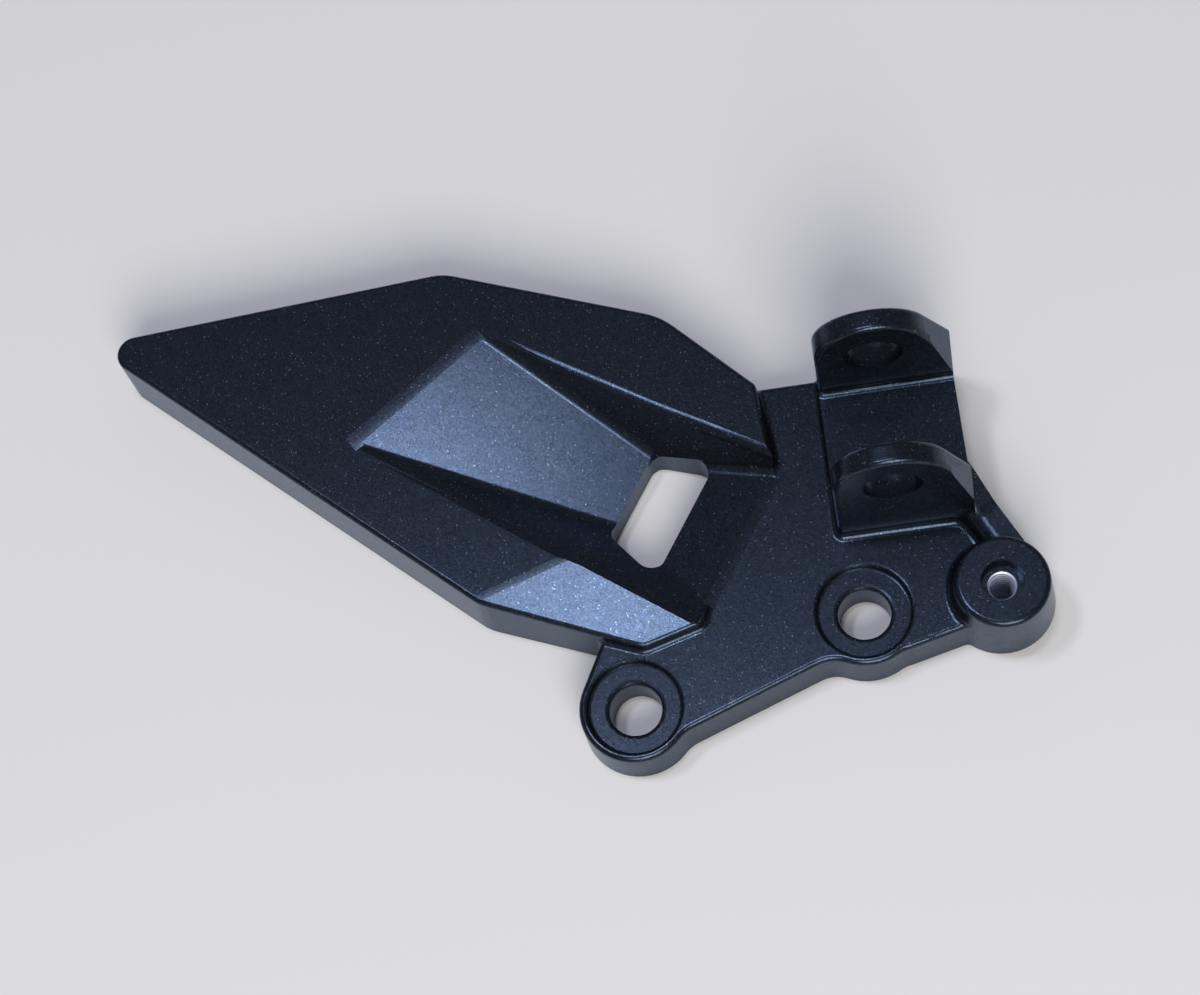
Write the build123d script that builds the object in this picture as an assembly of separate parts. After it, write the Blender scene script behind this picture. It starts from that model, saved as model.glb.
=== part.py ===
from build123d import *
import os
from math import atan2, cos, degrees, radians, sin, tan

# Motorcycle footrest hanger, one aluminium casting
# The rear mounting face is z = 0 and the first bolt bore's axis is the origin.
# +Z points away from the frame that it bolts to, and the footrest pin lies along Y.

# Plate and bolt holes
plate_thick = 9.0
plate_draft = 2.0
guard_draft = 2.5
edge_round = 0.9
foot_round = 1.2
bolt_bore_d = 9.0
bolt_two_x = 40.9
bolt_two_y = 11.6
bolt_pad_r = 9.6
waist_round = 6.0
waist_reach = 7.0
waist_drop = 7.65
pad_leave_x = 6.0
pad_leave_y = -6.2
neck_turn = 153.0
neck_length = 12.0
seat_d = 16.4
seat_depth = 1.7
seat_round = 0.5
lip_round = 0.8
round_steps = 3
top_edge_y = 55.4
root_x = 20.0
root_y = 40.0

# Footrest clevis
pin_bore_d = 10.0
pin_x = 48.4
pin_rise = 20.0
clevis_front_y = 25.5
ear_thick = 4.0
clevis_gap = 20.0
crown_r = 10.0
clevis_right = 13.4
floor_rise = 7.3
shoulder_lean = 26.0
shoulder_front = 11.5
ear_back_draft = 5.0

# Threaded boss and its web
boss_x = 64.4
boss_y = 11.4
boss_d = 16.0
boss_rise = 6.3
boss_foot_r = 9.4
boss_foot_shift = 1.4
boss_edge_drop = 3.5
tap_drill_d = 5.1
tap_relief_d = 7.4
tap_relief_depth = 2.7
side_lean = 28.0
web_rise = 3.8
web_width = 5.5
web_length = 6.5
web_fall = 8.0
web_round = 6.0
web_brow_round = 4.0
web_crest_round = 2.5
web_corner_round = 3.0

# Heel guard
guard_rise = 4.3
guard_turn = -33.0
tip_x = -93.6
tip_y = 81.9
crest_x = -26.6
crest_y = 85.8
brow_x = 12.2
brow_y = 70.7
nose_x = 27.6
nose_y = 54.6
toe_x = 13.4
toe_y = 12.8
heel_x = 2.8
heel_y = 9.8
chin_x = -24.8
chin_y = 20.9
tip_round = 3.4
crest_round = 10.0
brow_round = 14.0
chin_round = 8.0
heel_round = 3.0
toe_round = 2.0
nose_round = 1.5
arm_round = 1.2
toe_foot_round = 1.0
facet_x = -8.9
facet_y = 27.0
facet_fall = 7.5
facet_turn = -72.0
facet_round = 20.0

# Pocket and open root in the guard
floor_fall = 10.8
floor_fall_turn = -54.0
floor_drop = 3.4
floor_mid_v = 35.0
upper_wall_slope = 50.0
lower_wall_slope = 36.0
lower_wall_turn = -36.6
pocket_round = 2.5
ridge_round = 2.6
arm_ridge_round = 1.2
toe_ridge_round = 0.6
tip_ridge_round = 2.0
back_round = 20.0
crease_round = 18.0
ridge_lift = 0.01
fade_fall = 1.0
fade_share = 0.15
upper_ridge_v = 49.6
crease_u = 3.5
strip_drop = 2.2
root_foot_v = 21.4
root_foot_slope = 20.0
root_lean = 0.3

# Window through the guard's root, in the guard's turned axes
window_left = -19.2
window_right = -7.9
window_high_left = 43.4
window_high_right = 46.3
window_low_left = 26.4
window_low_right = 22.4
window_round = 2.6

BIG = 300.0
plate_top = plate_thick
guard_top = plate_top + guard_rise
boss_top = plate_top + boss_rise
floor_top = plate_top + floor_rise
pin_z = plate_top + pin_rise
clevis_left_x = pin_x - crown_r
clevis_right_x = pin_x + clevis_right
ear_one_y = clevis_front_y
ear_two_y = clevis_front_y + ear_thick + clevis_gap
clevis_back_y = ear_two_y + ear_thick
bolt_places = [(0, 0), (bolt_two_x, bolt_two_y)]


def turned(u, v):
    """A place along and across the guard, in the plate's axes."""
    a = radians(guard_turn)
    return (u * cos(a) - v * sin(a), u * sin(a) + v * cos(a))


def drafted(sketch, height, top, angle):
    """A slab whose walls widen by the draft below its outline's level and narrow above it."""
    slab = extrude(sketch, amount=height)
    walls = [f for f in slab.faces() if abs(f.normal_at().Z) < 0.1]
    return draft(walls, Plane.XY.offset(top), angle)


def upright(fall, heading):
    """The normal of a plane that falls the given degrees towards the heading."""
    a = radians(heading)
    s = sin(radians(fall))
    return Vector(s * cos(a), s * sin(a), cos(radians(fall)))


def space_above(point, normal):
    """All that lies above a plane through the point."""
    half_space = Box(BIG, BIG, BIG, align=(Align.CENTER, Align.CENTER, Align.MIN))
    return Plane(origin=point, z_dir=normal) * half_space


def crossing(one, two, three):
    """The point where three planes meet, each given by a point and its normal."""
    (a, n), (b, m), (c, k) = one, two, three
    total = m.cross(k) * n.dot(a) + k.cross(n) * m.dot(b) + n.cross(m) * k.dot(c)
    return total / n.dot(m.cross(k))


def nearest(items, *points):
    """The items whose centres lie nearest to the points."""
    found = []
    for p in points:
        target = Vector(*p)
        found.append(min(items, key=lambda i: (i.center() - target).length))
    return found


def edges_near(part, *points):
    """The part's edges that pass nearest to the points."""
    found = []
    for p in points:
        target = Vertex(*p)
        found.append(min(part.edges(), key=lambda e: e.distance_to(target)))
    return found


def turned_round(r, z, size, first, last):
    """A quarter round of a turned profile, as a few short cones."""
    angles = [radians(first + (last - first) * k / round_steps) for k in range(round_steps + 1)]
    return [(r + size * cos(a), z + size * sin(a)) for a in angles]


def rounded_corners(face, points, radii):
    """The flat outline with each listed corner rounded."""
    for point, r in zip(points, radii):
        if r:
            face = fillet(nearest(face.vertices(), (point[0], point[1], 0)), r)
    return face


def ridge_cutter(start, end, first, second, r):
    """What lies outside a round that touches the two faces of the ridge from start to end."""
    along = (end - start).normalized()
    over = along.cross(first)
    if over.dot(second) > 0:
        over = -over
    down = along.cross(second)
    if down.dot(first) > 0:
        down = -down
    inward = (over + down).normalized()
    half = radians(over.get_angle(down)) / 2
    reach = r / tan(half)
    a = start + over * reach
    b = start + down * reach
    blade = make_face(Polyline(a, b, b - inward * 2, a - inward * 2, close=True))
    centre = start + inward * (r / sin(half) - ridge_lift)
    blade -= Plane(origin=centre, z_dir=along) * Circle(r)
    return extrude(blade, amount=(end - start).length, dir=along)


def faded(cutter, start, end, heading):
    """The cutter with its depth running out towards the ridge's start."""
    from_here = start + (end - start) * fade_share
    return cutter & space_above(from_here, upright(fade_fall, heading))


# Plate outline at its front face
lean = radians(side_lean)
boss_r = boss_d / 2
side_x = boss_x + boss_r * cos(lean)
side_y = boss_y + boss_r * sin(lean)
corner_y = side_y + (side_x - clevis_right_x) / tan(lean)
neck = radians(neck_turn)
neck_x = bolt_pad_r * cos(neck)
neck_y = bolt_pad_r * sin(neck)
outline = Polyline(
    (root_x, top_edge_y),
    (clevis_right_x, top_edge_y),
    (clevis_right_x, corner_y),
    (side_x, side_y),
    (boss_x, boss_y),
    (boss_x, boss_y - boss_edge_drop),
    (bolt_two_x + waist_reach, bolt_two_y - waist_drop),
    (bolt_two_x, bolt_two_y),
    (bolt_two_x - waist_reach, bolt_two_y - waist_drop),
    (pad_leave_x, pad_leave_y),
    (0, 0),
    (neck_x, neck_y),
    (neck_x + neck_length * sin(neck), neck_y - neck_length * cos(neck)),
    (0, root_y),
    close=True,
)
plate_face = make_face(outline)
for x, y in bolt_places:
    plate_face += Pos(x, y) * Circle(bolt_pad_r)
plate_face = offset(plate_face, amount=waist_round, kind=Kind.ARC)
plate_face = offset(plate_face, amount=-waist_round, kind=Kind.ARC)
plate = extrude(Pos(0, 0, plate_top) * plate_face, amount=-plate_top, taper=-plate_draft)
rim = []
for edge in plate.faces().sort_by(Axis.Z)[-1].edges():
    middle = edge.center()
    if middle.X < clevis_right_x - 2 or middle.Y < boss_y:
        rim.append(edge)
plate = fillet(rim, edge_round)
boss_foot = Pos(boss_x, boss_y + boss_foot_shift) * Circle(boss_foot_r)
boss = loft([boss_foot, Pos(boss_x, boss_y, boss_top) * Circle(boss_r)], ruled=True)
boss = fillet(boss.faces().sort_by(Axis.Z)[-1].edges(), edge_round)

# Outline of the heel guard
guard_points = [
    (tip_x, tip_y),
    (crest_x, crest_y),
    (brow_x, brow_y),
    (nose_x, nose_y),
    turned(crease_u - arm_round, upper_ridge_v),
    turned(crease_u - root_lean, root_foot_v + foot_round),
    (toe_x, toe_y),
    (heel_x, heel_y),
    (chin_x, chin_y),
]
upper_rounds = [tip_round, crest_round, brow_round, nose_round, arm_round]
lower_rounds = [0, toe_round, heel_round, chin_round]
guard_face = make_face(Polyline(*guard_points, close=True))
guard_face = rounded_corners(guard_face, guard_points, upper_rounds + lower_rounds)


def rounded_top(slab):
    """The slab with the rim of its top face rounded."""
    top = max(slab.faces(), key=lambda f: f.normal_at().Z)
    return fillet(top.outer_wire().edges(), edge_round)


# Guard with a bright facet that slants off its lower arm
top_up = Vector(0, 0, 1)
facet_up = upright(facet_fall, facet_turn)
facet_point = Vector(facet_x, facet_y, guard_top)
flat_slab = drafted(guard_face, guard_top, guard_top, guard_draft)
tall_slab = drafted(guard_face, guard_top + 15, guard_top, guard_draft)
guard = rounded_top(flat_slab) & rounded_top(tall_slab - space_above(facet_point, facet_up))

# Pocket with a falling floor between two slanting walls
floor_up = upright(floor_fall, floor_fall_turn)
lower_up = upright(lower_wall_slope, lower_wall_turn + 90)
upper_up = upright(upper_wall_slope, guard_turn - 90)
floor_point = Vector(*turned(window_left, floor_mid_v), plate_top - floor_drop)
upper_point = Vector(*turned(window_left, upper_ridge_v), guard_top)
pocket = space_above(floor_point, floor_up)
pocket &= space_above(facet_point, lower_up)
pocket &= space_above(upper_point, upper_up)
behind = Box(BIG, BIG, BIG, align=(Align.MAX, Align.CENTER, Align.CENTER))
pocket &= Rot(0, 0, guard_turn) * Pos(window_left, 0, 0) * behind
for foot_v in (window_low_left, window_high_left):
    foot = edges_near(pocket, (*turned(window_left - floor_mid_v / 3, foot_v), plate_top))
    pocket = fillet(foot, pocket_round)

# Soft rounds on the pocket's ridges, its back edge and the facet's brink
top_plane = (facet_point, top_up)
lower_plane = (facet_point, lower_up)
back_high = crossing(top_plane, (floor_point, floor_up), (upper_point, upper_up))
back_low = crossing(top_plane, (floor_point, floor_up), lower_plane)
facet_corner = crossing((facet_point, facet_up), lower_plane, (upper_point, Vector(*turned(1, 0))))
brink = top_up.cross(facet_up).normalized() * floor_mid_v
upper_ridge = ridge_cutter(back_high, upper_point, top_up, upper_up, ridge_round)
lower_ridge = ridge_cutter(back_low, facet_point, top_up, lower_up, ridge_round)
ridges = [
    faded(upper_ridge, back_high, upper_point, guard_turn),
    faded(lower_ridge, back_low, facet_point, lower_wall_turn),
    ridge_cutter(facet_point, facet_corner, facet_up, lower_up, arm_ridge_round),
    ridge_cutter(back_high, back_low, top_up, floor_up, back_round),
    ridge_cutter(facet_point - brink, facet_point + brink, top_up, facet_up, facet_round),
]


def lower_wall_v(u, z):
    """Where the lower wall's plane stands at a height, across the guard."""
    at_axis = lower_up.dot(facet_point) - lower_up.Z * z - u * lower_up.dot(Vector(*turned(1, 0)))
    return at_axis / lower_up.dot(Vector(*turned(0, 1)))


def facet_z(u, v):
    """Height of the facet's plane at a place along and across the guard."""
    away = Vector(*turned(u, v)) - Vector(facet_x, facet_y)
    return guard_top - (away.X * facet_up.X + away.Y * facet_up.Y) / facet_up.Z


def root_section(u, floor_z, lower_v, lower_slope, upper_foot_v, radii):
    """Cross-section of the open root at one place along the guard, with its ridges and feet rounded."""
    high = guard_top + 2
    shelf = 5
    grade = tan(radians(lower_slope))
    facet_base = facet_z(u, 0) + ridge_lift
    tilt = facet_z(u, 1) - facet_z(u, 0)
    ridge_v = (floor_z + lower_v * grade - facet_base) / (grade + tilt)
    points = [
        (ridge_v, facet_base + tilt * ridge_v),
        (lower_v, floor_z),
        (upper_foot_v, floor_z),
        (upper_ridge_v, guard_top + ridge_lift),
        (upper_ridge_v + shelf, guard_top + ridge_lift),
        (upper_ridge_v + shelf, high),
        (ridge_v - shelf, high),
        (ridge_v - shelf, facet_base + tilt * (ridge_v - shelf)),
    ]
    face = rounded_corners(make_face(Polyline(*points, close=True)), points, radii)
    across = Plane(origin=(*turned(u, 0), 0), x_dir=(*turned(0, 1), 0), z_dir=(*turned(1, 0), 0))
    return across * face


# Open root that twists its upper wall upright towards the plate
strip_fall = strip_drop / (crease_u - window_right)
deep_z = plate_top - strip_fall * (crease_u - window_left)
near_high_v = upper_ridge_v - (guard_top - deep_z) / tan(radians(upper_wall_slope))
near_low_v = lower_wall_v(window_left, deep_z)
near_slope = degrees(atan2(guard_top - deep_z, near_low_v - lower_wall_v(window_left, guard_top)))
near_rounds = (arm_ridge_round, pocket_round, pocket_round, ridge_round)
far_rounds = (toe_ridge_round, pocket_round, tip_ridge_round, tip_ridge_round)
near = root_section(window_left, deep_z, near_low_v, near_slope, near_high_v, near_rounds)
far = root_section(crease_u, plate_top, root_foot_v, root_foot_slope, upper_ridge_v - root_lean, far_rounds)
root = loft([near, far], ruled=True)
strip_up = upright(degrees(atan2(strip_drop, crease_u - window_right)), guard_turn + 180)
crease_low = Vector(*turned(crease_u, root_foot_v), plate_top)
crease_high = Vector(*turned(crease_u, upper_ridge_v - tip_ridge_round), plate_top)
ridges.append(ridge_cutter(crease_low, crease_high, top_up, strip_up, crease_round))

# Window
window_points = [
    (window_left, window_high_left),
    (window_right, window_high_right),
    (window_right, window_low_right),
    (window_left, window_low_left),
]
window_face = fillet(make_face(Polyline(*window_points, close=True)).vertices(), window_round)
window = Rot(0, 0, guard_turn) * Pos(0, 0, -1) * extrude(window_face, amount=BIG / 3)

# Clevis block with its two ears
right_foot = clevis_right_x + floor_top * tan(radians(plate_draft))
crown_top = pin_z + crown_r
lean_s = radians(shoulder_lean)
shoulder_x = pin_x + crown_r * cos(lean_s)
shoulder_z = pin_z + crown_r * sin(lean_s)
shoulder_end = shoulder_z - (clevis_right_x - shoulder_x) / tan(lean_s)
ear_line = Line((clevis_left_x, 0), (clevis_left_x, pin_z))
ear_line += RadiusArc((clevis_left_x, pin_z), (shoulder_x, shoulder_z), crown_r, short_sagitta=True)
ear_line += Line((shoulder_x, shoulder_z), (clevis_right_x, shoulder_end))
ear_line += Line((clevis_right_x, shoulder_end), (clevis_right_x, floor_top))
ear_line += Line((clevis_right_x, floor_top), (right_foot, 0))
ear_line += Line((right_foot, 0), (clevis_left_x, 0))
ear_face = make_face(ear_line)
block_depth = clevis_back_y - clevis_front_y + ear_thick
front = Plane((0, clevis_front_y, 0), x_dir=(1, 0, 0), z_dir=(0, -1, 0))
clevis = extrude(front * ear_face, amount=-block_depth)
gap = Box(BIG, clevis_gap, BIG, align=(Align.CENTER, Align.MIN, Align.MIN))
clevis -= Pos(0, clevis_front_y + ear_thick, floor_top) * gap
back_tilt = radians(ear_back_draft)
clevis -= space_above((0, clevis_back_y, crown_top), (0, cos(back_tilt), sin(back_tilt)))

# Ears lean away at the front of their right shoulders
cut_low = Vector(clevis_right_x, ear_one_y, pin_z - shoulder_front)
cut_back = Vector(clevis_right_x, ear_one_y + ear_thick, shoulder_end)
cut_high = Vector(shoulder_x, ear_one_y, shoulder_z)
shoulder_normal = (cut_back - cut_low).cross(cut_high - cut_low).normalized()
if shoulder_normal.X < 0:
    shoulder_normal = -shoulder_normal
ear_space = Box(2 * crown_r, ear_thick, 4 * crown_r, align=(Align.CENTER, Align.MIN, Align.MIN))
for ear_y in (ear_one_y, ear_two_y):
    corner = cut_low + Vector(0, ear_y - ear_one_y, 0)
    clevis -= space_above(corner, shoulder_normal) & (Pos(clevis_right_x, ear_y, floor_top + 0.5) * ear_space)
crowns = [(pin_x, y, crown_top) for y in (ear_one_y, ear_one_y + ear_thick, ear_two_y, clevis_back_y)]
clevis = fillet(edges_near(clevis, *crowns), edge_round)

# Web that runs from the lower ear down to the threaded boss
run = Vector(sin(lean), -cos(lean))
web_start = Vector(clevis_right_x, corner_y)
web_bend = (corner_y - clevis_front_y) / cos(lean) - 1
web_end = web_bend + web_length + web_width / 2
web_top = plate_top + web_rise
web_points = [
    (1, floor_top),
    (web_bend, web_top),
    (web_end, web_top - (web_end - web_bend) * tan(radians(web_fall))),
    (web_end, plate_top - 1),
    (-3, plate_top - 1),
    (-3, floor_top),
]
web_face = make_face(Polyline(*web_points, close=True))
web_face = rounded_corners(web_face, web_points, (web_brow_round, web_round))
web_plane = Plane(origin=(web_start.X, web_start.Y, 0), x_dir=(run.X, run.Y, 0), z_dir=(run.Y, -run.X, 0))
web = extrude(web_plane * web_face, amount=web_width)
web_crest = web_plane.from_local_coords((web_end - 2, web_top - 0.6, web_width))
web = fillet(edges_near(web, web_crest), web_crest_round)

# One casting, with concave rounds where its parts meet
body = plate + guard
body = fillet(edges_near(body, (nose_x + 1, nose_y - web_width, plate_top)), foot_round)
body = fillet(edges_near(body, ((toe_x + heel_x) / 2, (toe_y + heel_y) / 2, plate_top)), toe_foot_round)
body += boss + clevis + web
web_side = web_start + Vector(run.Y, -run.X) * web_width
web_side += run * ((web_side.Y - clevis_front_y) / cos(lean))
body = fillet(nearest(body.edges(), (web_side.X, web_side.Y, plate_top + 1)), web_corner_round)
feet = edges_near(body, (pin_x, ear_one_y, plate_top), (boss_x - boss_r, boss_y, plate_top))
body = fillet(feet, foot_round)

# Guard's hollows
body -= root
body -= pocket
for ridge in ridges:
    body -= ridge
body -= window
for y in (ear_one_y + ear_thick, ear_two_y):
    body = fillet(edges_near(body, (pin_x, y, floor_top)), foot_round)

# Counterbored bolt bores, turned with small rounds at the lip, the foot and the mouth
seat_floor = plate_top - seat_depth
seat_mouth = seat_d / 2 + seat_round
lip = turned_round(bolt_bore_d / 2 + lip_round, seat_floor - lip_round, lip_round, 180, 90)
foot = turned_round(seat_d / 2 - seat_round, seat_floor + seat_round, seat_round, -90, 0)
mouth = turned_round(seat_mouth, plate_top - seat_round, seat_round, 180, 90)
wall = [(0, -1), (bolt_bore_d / 2, -1), *lip, *foot, *mouth]
half_section = Polygon(*wall, (seat_mouth, plate_top + 1), (0, plate_top + 1), align=None)
bolt_cut = revolve(Plane.XZ * half_section, Axis.Z)
for x, y in bolt_places:
    body -= Pos(x, y, 0) * bolt_cut

# Pin bore through both ears
body -= Pos(pin_x, clevis_front_y, pin_z) * Rot(90, 0, 0) * Cylinder(pin_bore_d / 2, BIG / 2)

# Tapped hole right through the boss, with a relief at its mouth
relief = Cylinder(tap_relief_d / 2, BIG / 3, align=(Align.CENTER, Align.CENTER, Align.MIN))
body -= Pos(boss_x, boss_y, 0) * Cylinder(tap_drill_d / 2, BIG / 3)
body -= Pos(boss_x, boss_y, boss_top - tap_relief_depth) * relief

os.makedirs("parts", exist_ok=True)
export_step(body, "parts/hanger_casting.step")
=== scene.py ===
# %% [markdown]
# # A cast footrest hanger
# This scene dresses one black coated casting.
# It holds a motorcycle's folding footrest and has a guard for the heel.
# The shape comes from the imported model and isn't changed here.
# What is made here is its coat, the bare thread in its boss, the floor, the light and the camera.

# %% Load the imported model
import math

import bpy
from mathutils import Matrix, Vector


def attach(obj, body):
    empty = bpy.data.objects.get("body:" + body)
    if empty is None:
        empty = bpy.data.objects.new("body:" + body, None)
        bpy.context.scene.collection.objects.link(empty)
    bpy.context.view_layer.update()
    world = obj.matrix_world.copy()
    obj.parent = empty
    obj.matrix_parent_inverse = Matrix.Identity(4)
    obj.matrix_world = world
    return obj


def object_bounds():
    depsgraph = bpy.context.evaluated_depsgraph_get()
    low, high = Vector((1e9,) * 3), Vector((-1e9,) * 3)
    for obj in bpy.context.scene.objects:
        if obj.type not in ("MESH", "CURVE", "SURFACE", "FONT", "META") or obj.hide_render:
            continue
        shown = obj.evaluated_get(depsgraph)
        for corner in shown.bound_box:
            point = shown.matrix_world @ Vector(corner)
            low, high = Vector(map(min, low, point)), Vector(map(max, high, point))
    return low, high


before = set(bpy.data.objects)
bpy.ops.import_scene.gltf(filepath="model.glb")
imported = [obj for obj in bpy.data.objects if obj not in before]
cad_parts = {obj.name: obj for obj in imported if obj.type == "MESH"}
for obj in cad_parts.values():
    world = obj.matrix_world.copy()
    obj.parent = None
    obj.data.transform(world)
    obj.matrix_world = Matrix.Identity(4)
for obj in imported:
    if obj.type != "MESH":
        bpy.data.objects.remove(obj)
model_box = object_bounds()
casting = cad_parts["hanger_casting"]
print("casting", len(casting.data.vertices), "vertices")


# %% [markdown]
# ## Node trees as plain expressions
# A procedural finish is a sum of masks, and a thread's wall is a sum of heights and angles.
# Both could be wired node by node, but then the sum is hard to read.
# Wrapping a socket in a small class lets us write the sum as Python.
# Each operator adds the Math node that it needs.


# %% A socket that understands operators
class Value:
    """One output of a node, ready to be used in a sum."""

    def __init__(self, graph, socket):
        self.graph = graph
        self.socket = socket

    def math(self, operation, *others):
        return self.graph.node("ShaderNodeMath", {"operation": operation}, [self, *others])

    def __add__(self, other):
        return self.math("ADD", other)

    __radd__ = __add__

    def __mul__(self, other):
        return self.math("MULTIPLY", other)

    __rmul__ = __mul__

    def __sub__(self, other):
        return self.math("SUBTRACT", other)

    def __rsub__(self, other):
        return self.graph.node("ShaderNodeMath", {"operation": "SUBTRACT"}, [other, self])

    def smooth(self, low, high):
        """0 below low, 1 above high, and a soft step between."""
        return self.graph.node(
            "ShaderNodeMapRange",
            {"interpolation_type": "SMOOTHSTEP"},
            {"Value": self, "From Min": low, "From Max": high},
        )


# %% A tree with one method that adds any node
class Graph:
    """A node tree. Its inputs take numbers or the values of other nodes."""

    def __init__(self, tree):
        self.tree = tree

    def node(self, kind, settings, inputs, output=0):
        made = self.tree.nodes.new(kind)
        for key, value in settings.items():
            setattr(made, key, value)
        pairs = inputs.items() if isinstance(inputs, dict) else enumerate(inputs)
        for key, value in pairs:
            self.feed(made.inputs[key], value)
        return Value(self, made.outputs[output])

    def feed(self, socket, value):
        if isinstance(value, Value):
            self.tree.links.new(value.socket, socket)
        else:
            socket.default_value = value


# %% A finish is a material's tree
class Finish(Graph):
    """A material whose patterns follow the piece's own coordinates."""

    def __init__(self, name):
        self.material = bpy.data.materials.new(name)
        self.material.use_nodes = True
        super().__init__(self.material.node_tree)
        self.shader = self.tree.nodes["Principled BSDF"]
        self.place = self.node("ShaderNodeTexCoord", {}, {}, "Object")

    def set(self, socket, value):
        """Give one of the shader's sockets a constant or a pattern."""
        self.feed(self.shader.inputs[socket], value)

    def noise(self, scale, detail, roughness):
        inputs = {"Vector": self.place, "Scale": scale, "Detail": detail, "Roughness": roughness}
        return self.node("ShaderNodeTexNoise", {}, inputs, "Fac")

    def mix(self, mask, low, high):
        """The low colour where the mask is 0, and the high one where it is 1."""
        factor, first, second = 0, 6, 7
        colour_output = 2
        inputs = {factor: mask, first: low, second: high}
        return self.node("ShaderNodeMix", {"data_type": "RGBA"}, inputs, colour_output)


# %% [markdown]
# ## The coat
# The real coat is a near-black satin paint over cast metal.
# Close up it has three scales: a faint cast waviness, a fine sandy grain, and a few tiny bright flakes.
# It could be one dark colour with one noise, but then its sheen would be as smooth as plastic.
# A Voronoi texture gives every small cell random numbers of its own.
# One of them sets the cell's share of metal, so the sheen breaks up into grains.
# A high threshold on another keeps the few cells that are flakes.
# A blue specular tint gives the cool sheen.

# %% The patterns of the coat
PER_MM = 1000.0
coat = Finish("black_satin_coat")
grain = coat.noise(4.5 * PER_MM, 3.0, 0.7)
cast_wave = coat.noise(0.22 * PER_MM, 2.0, 0.5)
cell_colour = coat.node(
    "ShaderNodeTexVoronoi",
    {"feature": "F1"},
    {"Vector": coat.place, "Scale": 5.0 * PER_MM, "Randomness": 1.0},
    "Color",
)
speckle = coat.node("ShaderNodeSeparateColor", {}, {"Color": cell_colour}, "Green")
flake_number = coat.node("ShaderNodeSeparateColor", {}, {"Color": cell_colour}, "Red")
flake = flake_number.smooth(0.985, 0.998)
print("coat patterns", len(coat.tree.nodes), "nodes")

# %% The colour and the sheen of the coat
DARK = (0.0045, 0.0050, 0.0064, 1.0)
LIFTED = (0.0080, 0.0092, 0.0118, 1.0)
FLAKE = (0.10, 0.12, 0.16, 1.0)
tone = coat.mix(grain.smooth(0.35, 0.68), DARK, LIFTED)
coat.set("Base Color", coat.mix(flake, tone, FLAKE))
coat.set("Roughness", 0.18 + 0.08 * grain + 0.03 * cast_wave)
coat.set("Metallic", 0.65 * speckle * (1.0 - flake) + 0.6 * flake)
coat.set("Specular Tint", (0.50, 0.70, 1.0, 1.0))
coat.set("IOR", 1.62)
linked = [socket.name for socket in coat.shader.inputs if socket.is_linked]
print("coat patterns feed", linked)

# %% The relief of the coat, on the casting
height = 0.5 * grain + 0.25 * flake_number + 0.6 * cast_wave
relief = {"Strength": 0.30, "Distance": 0.00005, "Height": height}
coat.set("Normal", coat.node("ShaderNodeBump", {}, relief, "Normal"))
for slot in casting.material_slots:
    slot.material = coat.material
print("coat covers", len(casting.material_slots), "slot with", len(coat.tree.nodes), "nodes")


# %% [markdown]
# ## The thread
# A tap leaves a bare helical groove in the boss. It could be cut as a solid, but a helix is a rule:
# the wall's radius depends only on the height and the angle round the axis.
# Geometry Nodes bend a flat grid into that wall, with the pitch and the sizes as named inputs.
# The grid carries an attribute, crest, from 0 in the groove to 1 on the crest, for its metal to read.

# %% Sizes of the thread, in metres
# The grooves end just behind the model's own wall, so its dark coat shows between the turns.
thread_axis = Vector((0.0644, 0.0114, 0.0))
thread_sizes = {
    "Groove radius": 0.00262,
    "Depth": 0.00042,
    "Pitch": 0.001,
    "Bottom": 0.0004,
    "Top": 0.0124,
}
tapped_height = thread_sizes["Top"] - thread_sizes["Bottom"]
print("thread turns", round(tapped_height / thread_sizes["Pitch"], 1))


# %% A flat grid, one turn wide
class GeometryTree(Graph):
    """A Geometry Nodes tree with one named input for each size."""

    def __init__(self, name, sizes):
        super().__init__(bpy.data.node_groups.new(name, "GeometryNodeTree"))
        sockets = self.tree.interface
        sockets.new_socket("Geometry", in_out="INPUT", socket_type="NodeSocketGeometry")
        sockets.new_socket("Geometry", in_out="OUTPUT", socket_type="NodeSocketGeometry")
        for size in sizes:
            sockets.new_socket(size, in_out="INPUT", socket_type="NodeSocketFloat")
        self.entry = self.tree.nodes.new("NodeGroupInput")
        self.exit = self.tree.nodes.new("NodeGroupOutput")

    def size(self, name):
        return Value(self, self.entry.outputs[name])


STEPS_ROUND = 48
STEPS_UP = 192
bare_metal = Finish("bare_cut_metal")
wall = GeometryTree("tapped_wall", thread_sizes)
grid = wall.node(
    "GeometryNodeMeshGrid",
    {},
    {"Size X": 1.0, "Size Y": 1.0, "Vertices X": STEPS_ROUND + 1, "Vertices Y": STEPS_UP + 1},
    "Mesh",
)
place = wall.node("GeometryNodeInputPosition", {}, {})
across = wall.node("ShaderNodeSeparateXYZ", {}, [place], "X") + 0.5
up = wall.node("ShaderNodeSeparateXYZ", {}, [place], "Y") + 0.5
print("grid", STEPS_ROUND, "faces round and", STEPS_UP, "up")

# %% The helix: where on a turn each point is, and how far in its ridge stands
rise = wall.size("Bottom") + up * (wall.size("Top") - wall.size("Bottom"))
phase = (rise.math("DIVIDE", wall.size("Pitch")) - across).math("FRACT")
ridge = (phase * 2.0 - 1.0).math("ABSOLUTE")
ends = (up.math("MULTIPLY", 1.0 - up) * 60.0).math("MINIMUM", 1.0)
radius = wall.size("Groove radius") - wall.size("Depth") * ridge * ends
turn = across * math.tau
wound = wall.node(
    "ShaderNodeCombineXYZ",
    {},
    [turn.math("COSINE") * radius, turn.math("SINE") * radius, rise],
)
print("grid rows in one pitch", round(STEPS_UP * thread_sizes["Pitch"] / tapped_height, 1))

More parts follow.
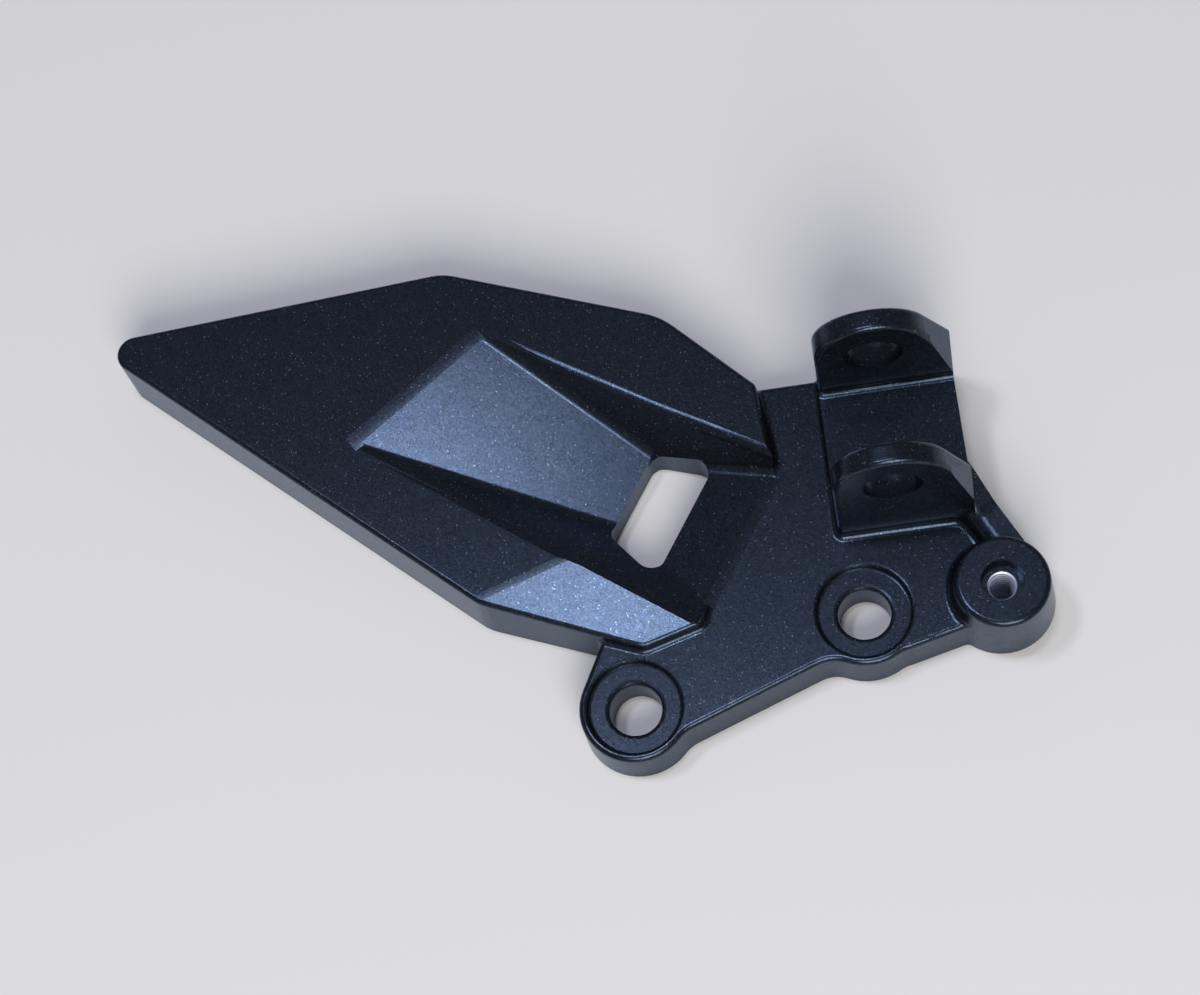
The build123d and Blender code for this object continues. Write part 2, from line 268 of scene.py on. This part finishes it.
# %% The grid is marked, wound, closed and painted
marked = wall.node(
    "GeometryNodeStoreNamedAttribute",
    {"data_type": "FLOAT"},
    {"Geometry": grid, "Name": "crest", "Value": ridge},
)
moved = wall.node("GeometryNodeSetPosition", {}, {"Geometry": marked, "Position": wound})
flipped = wall.node("GeometryNodeFlipFaces", {}, {"Mesh": moved}, "Mesh")
closed = wall.node("GeometryNodeMergeByDistance", {}, {"Geometry": flipped, "Distance": 0.000001})
realized = wall.node("GeometryNodeRealizeInstances", {}, {"Geometry": closed})
paint = {"Geometry": realized, "Material": bare_metal.material}
wall.feed(wall.exit.inputs["Geometry"], wall.node("GeometryNodeSetMaterial", {}, paint))
print("thread tree", len(wall.tree.nodes), "nodes")


# %% [markdown]
# ## A plain mesh from the tree
# The tree could stay live on its object, but a plain mesh is what rides on the casting.
# So an empty holder runs the tree once, and its result is copied and moved to the hole's axis.
# A modifier keeps its inputs under each socket's identifier, not under its name.


# %% Turn the tree's result into a plain piece
def plain_piece(name, tree, sizes, axis):
    """The tree's result as a mesh of its own, with its place in its vertices."""
    holder = bpy.data.objects.new(name + "_holder", bpy.data.meshes.new(name + "_holder"))
    bpy.context.scene.collection.objects.link(holder)
    modifier = holder.modifiers.new("tree", "NODES")
    modifier.node_group = tree
    for socket in tree.interface.items_tree:
        if socket.name in sizes:
            modifier[socket.identifier] = sizes[socket.name]
    seen = holder.evaluated_get(bpy.context.evaluated_depsgraph_get())
    mesh = bpy.data.meshes.new_from_object(seen)
    bpy.data.objects.remove(holder)
    mesh.transform(Matrix.Translation(axis))
    piece = bpy.data.objects.new(name, mesh)
    bpy.context.scene.collection.objects.link(piece)
    return piece


thread = plain_piece("thread_turns", wall.tree, thread_sizes, thread_axis)
for face in thread.data.polygons:
    face.use_smooth = True
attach(thread, "root")
print("thread", len(thread.data.polygons), "faces")


# %% [markdown]
# ## Bare metal
# The tap cuts through the coat, so the crests of the thread are clean metal.
# The grooves get a near-black painted shade. The crests get a pale blue colour that is partly the bare
# metal's own and partly a painted highlight. One grey could stand for both, but then the fine lines would
# be lost.
# The crest attribute says which is which, and a fine noise stands for the marks of the tap.

# %% Bare cut metal
# The near-black colour is painted shade in the grooves. The pale blue one is bare metal with a painted
# highlight on the crests.
GROOVE_SHADE = (0.03, 0.04, 0.07, 1.0)
LIT_BARE_METAL = (0.74, 0.83, 1.0, 1.0)
scratch = bare_metal.noise(3.0 * PER_MM, 2.0, 0.5)
crest = bare_metal.node("ShaderNodeAttribute", {"attribute_name": "crest"}, {}, "Fac")
# The crest mask puts the painted shade in the grooves and the painted highlight on the crests.
lit_crest_mask = crest.smooth(0.4, 0.75) * (0.8 + 0.2 * scratch)
bare_metal.set("Base Color", bare_metal.mix(lit_crest_mask, GROOVE_SHADE, LIT_BARE_METAL))
bare_metal.set("Roughness", 0.28 + 0.2 * scratch)
bare_metal.set("Metallic", 0.3)
print("bare metal", len(bare_metal.tree.nodes), "nodes")


# %% [markdown]
# ## The stage
# The photograph was taken from above with the part lying on a sheet.
# A curved backdrop isn't needed, because the camera looks down.
# A plain pale floor takes the soft shadow and lights the walls from below.

# %% Floor
REACH = 1.6
FLOOR_GAP = 0.00005
floor_mesh = bpy.data.meshes.new("floor")
corners = [(-REACH, -REACH, 0), (REACH, -REACH, 0), (REACH, REACH, 0), (-REACH, REACH, 0)]
floor_mesh.from_pydata(corners, [], [(0, 1, 2, 3)])
floor = bpy.data.objects.new("floor", floor_mesh)
floor.location.z = model_box[0][2] - FLOOR_GAP
bpy.context.scene.collection.objects.link(floor)
paper = Finish("pale_floor")
paper.set("Base Color", (0.62, 0.605, 0.58, 1.0))
paper.set("Roughness", 0.85)
paper.set("Specular IOR Level", 0.2)
floor_mesh.materials.append(paper.material)
print("floor at", round(floor.location.z, 6))


# %% [markdown]
# ## Light
# A black part shows its form only by what it mirrors, so each lamp's place was worked out from one sheen.
# A small cool lamp overhead makes the bright facet and the pocket's floor shine.
# A second one, further left, lights the two ridges of the guard.
# A broad lamp low in front is the room's window: it lights the walls and the floor.
# A weak cool sky fills the shadows.


# %% Lamps
def soft_lamp(name, direction, distance, size, power, colour):
    """An oval lamp that stands off the part in a direction and faces it."""
    data = bpy.data.lights.new(name, "AREA")
    data.shape = "ELLIPSE"
    data.size = size[0]
    data.size_y = size[1]
    data.energy = power
    data.color = colour
    lamp = bpy.data.objects.new(name, data)
    towards = Vector(direction).normalized()
    lamp.location = LIT_POINT + towards * distance
    lamp.rotation_euler = towards.to_track_quat("Z", "Y").to_euler()
    bpy.context.scene.collection.objects.link(lamp)
    print("lamp", name, [round(x, 2) for x in lamp.location])


LIT_POINT = Vector((0.0, 0.04, 0.0))
COOL = (0.79, 0.82, 1.0)
DAYLIGHT = (1.0, 0.98, 0.96)
soft_lamp("overhead", (-0.027, 0.056, 0.998), 1.2, (0.18, 0.10), 3.7, COOL)
soft_lamp("window", (0.1, -0.75, 0.65), 1.4, (0.9, 0.9), 18.0, DAYLIGHT)
soft_lamp("overhead_left", (-0.28, 0.10, 0.955), 1.2, (0.22, 0.14), 3.4, COOL)

# %% Sky
world = bpy.data.worlds.new("sky")
world.use_nodes = True
sky = world.node_tree.nodes["Background"].inputs
sky["Color"].default_value = (0.80, 0.87, 1.0, 1.0)
sky["Strength"].default_value = 0.22
bpy.context.scene.world = world
bpy.context.scene.view_settings.view_transform = "Standard"
print("sky strength", round(sky["Strength"].default_value, 2))


# %% [markdown]
# ## Camera
# A camera set by eye would show the holes as ovals of the wrong shape.
# This one was fitted to the photograph from the bolt bores, the pin bore and the straight edges,
# so the model covers the same pixels.

# %% Camera at the photograph's place
eye = Vector((0.0394, -0.1211, 0.3994))
look = Vector((-0.0982, 0.3776, -0.9207)).normalized()
right = Vector((0.9853, -0.0931, -0.1433)).normalized()
above = right.cross(look).normalized()
lens = bpy.data.cameras.new("camera")
lens.sensor_width = 36.0
lens.lens = 72.0
lens.clip_start = 0.01
camera = bpy.data.objects.new("camera", lens)
camera.matrix_world = Matrix(
    (
        (right.x, above.x, -look.x, eye.x),
        (right.y, above.y, -look.y, eye.y),
        (right.z, above.z, -look.z, eye.z),
        (0.0, 0.0, 0.0, 1.0),
    )
)
bpy.context.scene.collection.objects.link(camera)
bpy.context.scene.camera = camera
print("camera", round(eye.length, 3), "m from the first bolt bore")


# %% [markdown]
# ## Sizes
# A dressed part that grew or shrank would no longer fit what it is bolted to.
# So the box of the model from before the dressing is printed.

# %% Size before the dressing
print("model box", model_box)
